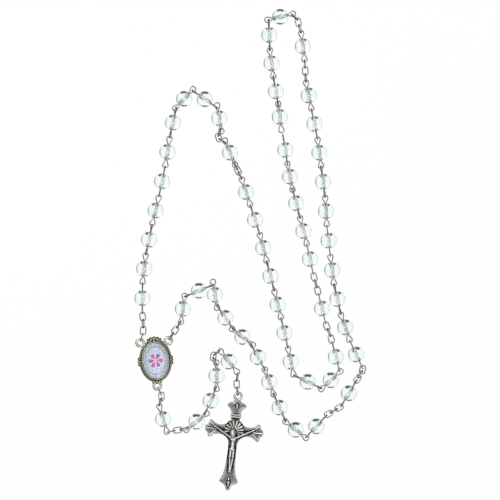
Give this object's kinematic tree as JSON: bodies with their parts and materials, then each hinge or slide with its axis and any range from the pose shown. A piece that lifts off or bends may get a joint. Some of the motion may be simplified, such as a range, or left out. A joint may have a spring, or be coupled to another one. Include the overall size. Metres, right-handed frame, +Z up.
{
  "type": "five-decade rosary",
  "caption": "Rosary: a loop of round glass beads on eyed wire pins with jump rings, an oval framed centrepiece, and a short drop of beads ending in a cast crucifix.",
  "frame": {"origin": "middle of the centrepiece's flat back, on the surface that the rosary lies on", "axes": "+Z up out of the surface the rosary lies on, +Y along the long loop away from the crucifix, +X to the right as seen from above"},
  "size_m": [0.0868, 0.1804, 0.006],
  "materials": {
    "aqua_glass": "clear polished",
    "silver_wire": "bright drawn wire, silver coloured",
    "nickel_casting": "polished casting, dark in the recesses",
    "printed_disc": "printed, gloss",
    "clear_dome": "clear domed resin",
    "silver_casting": "antiqued silver, black in the recesses"
  },
  "bodies": {
    "centrepiece": {"centrepiece_frame": "nickel_casting", "centrepiece_picture": "printed_disc", "centrepiece_dome": "clear_dome"},
    "decade_1_a": {"decade_1_beads_a": "aqua_glass", "decade_1_links_a": "silver_wire"},
    "decade_1_b": {"decade_1_beads_b": "aqua_glass", "decade_1_links_b": "silver_wire"},
    "decade_1_c": {"decade_1_beads_c": "aqua_glass", "decade_1_links_c": "silver_wire"},
    "decade_1_d": {"decade_1_beads_d": "aqua_glass", "decade_1_links_d": "silver_wire"},
    "our_father_1_chain": {"our_father_links_1": "silver_wire"},
    "our_father_1_bead": {"our_father_beads_1": "aqua_glass"},
    "decade_2_a": {"decade_2_beads_a": "aqua_glass", "decade_2_links_a": "silver_wire"},
    "decade_2_b": {"decade_2_beads_b": "aqua_glass", "decade_2_links_b": "silver_wire"},
    "decade_2_c": {"decade_2_beads_c": "aqua_glass", "decade_2_links_c": "silver_wire"},
    "decade_2_d": {"decade_2_beads_d": "aqua_glass", "decade_2_links_d": "silver_wire"},
    "our_father_2_chain": {"our_father_links_2": "silver_wire"},
    "our_father_2_bead": {"our_father_beads_2": "aqua_glass"},
    "decade_3_a": {"decade_3_beads_a": "aqua_glass", "decade_3_links_a": "silver_wire"},
    "decade_3_b": {"decade_3_beads_b": "aqua_glass", "decade_3_links_b": "silver_wire"},
    "decade_3_c": {"decade_3_beads_c": "aqua_glass", "decade_3_links_c": "silver_wire"},
    "decade_3_d": {"decade_3_beads_d": "aqua_glass", "decade_3_links_d": "silver_wire"},
    "our_father_3_chain": {"our_father_links_3": "silver_wire"},
    "our_father_3_bead": {"our_father_beads_3": "aqua_glass"},
    "decade_4_a": {"decade_4_beads_a": "aqua_glass", "decade_4_links_a": "silver_wire"},
    "decade_4_b": {"decade_4_beads_b": "aqua_glass", "decade_4_links_b": "silver_wire"},
    "decade_4_c": {"decade_4_beads_c": "aqua_glass", "decade_4_links_c": "silver_wire"},
    "decade_4_d": {"decade_4_beads_d": "aqua_glass", "decade_4_links_d": "silver_wire"},
    "our_father_4_chain": {"our_father_links_4": "silver_wire"},
    "our_father_4_bead": {"our_father_beads_4": "aqua_glass"},
    "decade_5_a": {"decade_5_beads_a": "aqua_glass", "decade_5_links_a": "silver_wire"},
    "decade_5_b": {"decade_5_beads_b": "aqua_glass", "decade_5_links_b": "silver_wire"},
    "decade_5_c": {"decade_5_beads_c": "aqua_glass", "decade_5_links_c": "silver_wire"},
    "decade_5_d": {"decade_5_links_d": "silver_wire"},
    "our_father_5_chain": {"our_father_links_5": "silver_wire"},
    "our_father_5_bead": {"our_father_beads_5": "aqua_glass"},
    "hail_mary_a": {"hail_mary_beads_a": "aqua_glass", "hail_mary_links_a": "silver_wire"},
    "hail_mary_b": {"hail_mary_beads_b": "aqua_glass", "hail_mary_links_b": "silver_wire"},
    "our_father_6_chain": {"our_father_links_6": "silver_wire"},
    "our_father_6_bead": {"our_father_beads_6": "aqua_glass"},
    "crucifix": {"crucifix": "silver_casting"}
  },
  "joints": [
    {"name": "left_lug_pivot", "type": "hinge", "parent": "centrepiece", "child": "decade_1_a", "pos_m": [-0.00538, 0.00795, 0.0013], "axis": [0.9559, -0.2937, 0], "range_deg": [-60, 60]},
    {"name": "decade_1_a_to_decade_1_b", "type": "hinge", "parent": "decade_1_a", "child": "decade_1_b", "pos_m": [-0.00355, 0.04019, 0.003], "axis": [-0.9933, 0.1156, 0], "range_deg": [-60, 60]},
    {"name": "decade_1_b_to_decade_1_c", "type": "hinge", "parent": "decade_1_b", "child": "decade_1_c", "pos_m": [0.00141, 0.06187, 0.003], "axis": [0.9724, -0.2334, 0], "range_deg": [-60, 60]},
    {"name": "decade_1_c_to_decade_1_d", "type": "hinge", "parent": "decade_1_c", "child": "decade_1_d", "pos_m": [0.00537, 0.08388, 0.003], "axis": [-0.9884, 0.1521, 0], "range_deg": [-60, 60]},
    {"name": "decade_1_d_to_our_father_1", "type": "hinge", "parent": "decade_1_d", "child": "our_father_1_chain", "pos_m": [0.02316, 0.08504, 0.00223], "axis": [-0.9486, -0.3165, 0], "range_deg": [-20, 20]},
    {"name": "our_father_1_bead_spin", "type": "hinge", "parent": "our_father_1_chain", "child": "our_father_1_bead", "pos_m": [0.0279, 0.07785, 0.003], "axis": [0.3892, -0.9211, 0], "continuous": true},
    {"name": "our_father_1_to_decade_2_a", "type": "hinge", "parent": "our_father_1_chain", "child": "decade_2_a", "pos_m": [0.03206, 0.06865, 0.003], "axis": [0.9501, 0.312, 0], "range_deg": [-60, 60]},
    {"name": "decade_2_a_to_decade_2_b", "type": "hinge", "parent": "decade_2_a", "child": "decade_2_b", "pos_m": [0.03887, 0.0479, 0.003], "axis": [-0.9686, -0.2488, 0], "range_deg": [-60, 60]},
    {"name": "decade_2_b_to_decade_2_c", "type": "hinge", "parent": "decade_2_b", "child": "decade_2_c", "pos_m": [0.04432, 0.0267, 0.003], "axis": [0.9698, 0.244, 0], "range_deg": [-60, 60]},
    {"name": "decade_2_c_to_decade_2_d", "type": "hinge", "parent": "decade_2_c", "child": "decade_2_d", "pos_m": [0.04947, 0.00535, 0.003], "axis": [-0.9791, -0.2032, 0], "range_deg": [-60, 60]},
    {"name": "decade_2_d_to_our_father_2", "type": "hinge", "parent": "decade_2_d", "child": "our_father_2_chain", "pos_m": [0.06626, 0.00654, 0.00309], "axis": [-0.9627, -0.2707, 0], "range_deg": [-60, 60]},
    {"name": "our_father_2_bead_spin", "type": "hinge", "parent": "our_father_2_chain", "child": "our_father_2_bead", "pos_m": [0.06235, 0.01949, 0.003], "axis": [-0.2305, 0.9731, 0], "continuous": true},
    {"name": "our_father_2_to_decade_3_a", "type": "hinge", "parent": "our_father_2_chain", "child": "decade_3_a", "pos_m": [0.05896, 0.03284, 0.003], "axis": [0.966, 0.2585, 0], "range_deg": [-60, 60]},
    {"name": "decade_3_a_to_decade_3_b", "type": "hinge", "parent": "decade_3_a", "child": "decade_3_b", "pos_m": [0.0515, 0.06308, 0.003], "axis": [-0.9806, -0.1961, 0], "range_deg": [-60, 60]},
    {"name": "right_lug_pivot", "type": "hinge", "parent": "centrepiece", "child": "decade_5_d", "pos_m": [0.00554, 0.00853, 0.0013], "axis": [-0.8346, 0.5509, 0], "range_deg": [-60, 60]},
    {"name": "decade_5_d_to_decade_5_c", "type": "hinge", "parent": "decade_5_d", "child": "decade_5_c", "pos_m": [0.00943, 0.01357, 0.003], "axis": [-0.9902, 0.1399, 0], "range_deg": [-60, 40]},
    {"name": "decade_5_c_to_decade_5_b", "type": "hinge", "parent": "decade_5_c", "child": "decade_5_b", "pos_m": [0.04064, -0.0025, 0.003], "axis": [0.943, 0.3328, 0], "range_deg": [-60, 60]},
    {"name": "decade_5_b_to_decade_5_a", "type": "hinge", "parent": "decade_5_b", "child": "decade_5_a", "pos_m": [0.04453, -0.01353, 0.003], "axis": [-0.943, -0.3328, 0], "range_deg": [-60, 60]},
    {"name": "decade_5_a_to_our_father_4", "type": "hinge", "parent": "decade_5_a", "child": "our_father_4_chain", "pos_m": [0.06343, -0.02076, 0.003], "axis": [-0.5121, 0.8589, 0], "range_deg": [-60, 60]},
    {"name": "our_father_4_bead_spin", "type": "hinge", "parent": "our_father_4_chain", "child": "our_father_4_bead", "pos_m": [0.07238, -0.01221, 0.003], "axis": [-0.516, -0.8566, 0], "continuous": true},
    {"name": "our_father_4_to_decade_4_d", "type": "hinge", "parent": "our_father_4_chain", "child": "decade_4_d", "pos_m": [0.07784, -0.00187, 0.00332], "axis": [0.9778, -0.2095, 0], "range_deg": [-40, 30]},
    {"name": "decade_4_d_to_decade_4_c", "type": "hinge", "parent": "decade_4_d", "child": "decade_4_c", "pos_m": [0.06687, 0.0281, 0.003], "axis": [-0.9918, -0.128, 0], "range_deg": [-60, 60]},
    {"name": "decade_4_c_to_decade_4_b", "type": "hinge", "parent": "decade_4_c", "child": "decade_4_b", "pos_m": [0.06419, 0.05013, 0.003], "axis": [0.9981, 0.0624, 0], "range_deg": [-60, 60]},
    {"name": "decade_4_b_to_decade_4_a", "type": "hinge", "parent": "decade_4_b", "child": "decade_4_a", "pos_m": [0.0621, 0.07202, 0.003], "axis": [-0.9917, -0.1288, 0], "range_deg": [-60, 60]},
    {"name": "decade_4_a_to_our_father_3", "type": "hinge", "parent": "decade_4_a", "child": "our_father_3_chain", "pos_m": [0.05614, 0.10498, 0.003], "axis": [0.9795, 0.2014, 0], "range_deg": [-60, 60]},
    {"name": "our_father_3_bead_spin", "type": "hinge", "parent": "our_father_3_chain", "child": "our_father_3_bead", "pos_m": [0.05515, 0.11765, 0.003], "axis": [0.1277, -0.9918, 0], "continuous": true},
    {"name": "our_father_3_to_decade_3_d", "type": "hinge", "parent": "our_father_3_chain", "child": "decade_3_d", "pos_m": [0.0544, 0.12345, 0.003], "axis": [0.9918, 0.1277, 0], "range_deg": [-60, 60]},
    {"name": "decade_3_d_to_decade_3_c", "type": "hinge", "parent": "decade_3_d", "child": "decade_3_c", "pos_m": [0.04423, 0.10547, 0.003], "axis": [-0.991, -0.1342, 0], "range_deg": [-60, 60]},
    {"name": "bottom_lug_pivot", "type": "hinge", "parent": "centrepiece", "child": "our_father_5_chain", "pos_m": [0.00122, -0.01076, 0.0013], "axis": [-0.9127, -0.4086, 0], "range_deg": [-60, 60]},
    {"name": "our_father_5_bead_spin", "type": "hinge", "parent": "our_father_5_chain", "child": "our_father_5_bead", "pos_m": [0.00285, -0.02185, 0.003], "axis": [0.2811, -0.9597, 0], "continuous": true},
    {"name": "our_father_5_to_hail_mary_a", "type": "hinge", "parent": "our_father_5_chain", "child": "hail_mary_a", "pos_m": [0.00987, -0.02573, 0.00267], "axis": [-0.185, 0.9827, 0], "range_deg": [-60, 60]},
    {"name": "hail_mary_a_to_hail_mary_b", "type": "hinge", "parent": "hail_mary_a", "child": "hail_mary_b", "pos_m": [0.02292, -0.0115, 0.003], "axis": [0.9999, 0.0122, 0], "range_deg": [-8, 35]},
    {"name": "hail_mary_b_to_our_father_6", "type": "hinge", "parent": "hail_mary_b", "child": "our_father_6_chain", "pos_m": [0.02143, -0.00005, 0.00219], "axis": [0.9894, -0.1454, 0], "range_deg": [-20, 30]},
    {"name": "our_father_6_bead_spin", "type": "hinge", "parent": "our_father_6_chain", "child": "our_father_6_bead", "pos_m": [0.02745, -0.00035, 0.003], "axis": [0.619, -0.7854, 0], "continuous": true},
    {"name": "crucifix_pivot", "type": "hinge", "parent": "our_father_6_chain", "child": "crucifix", "pos_m": [0.03077, -0.01211, 0.0013], "axis": [0.9906, 0.137, 0], "range_deg": [-60, 60]}
  ]
}
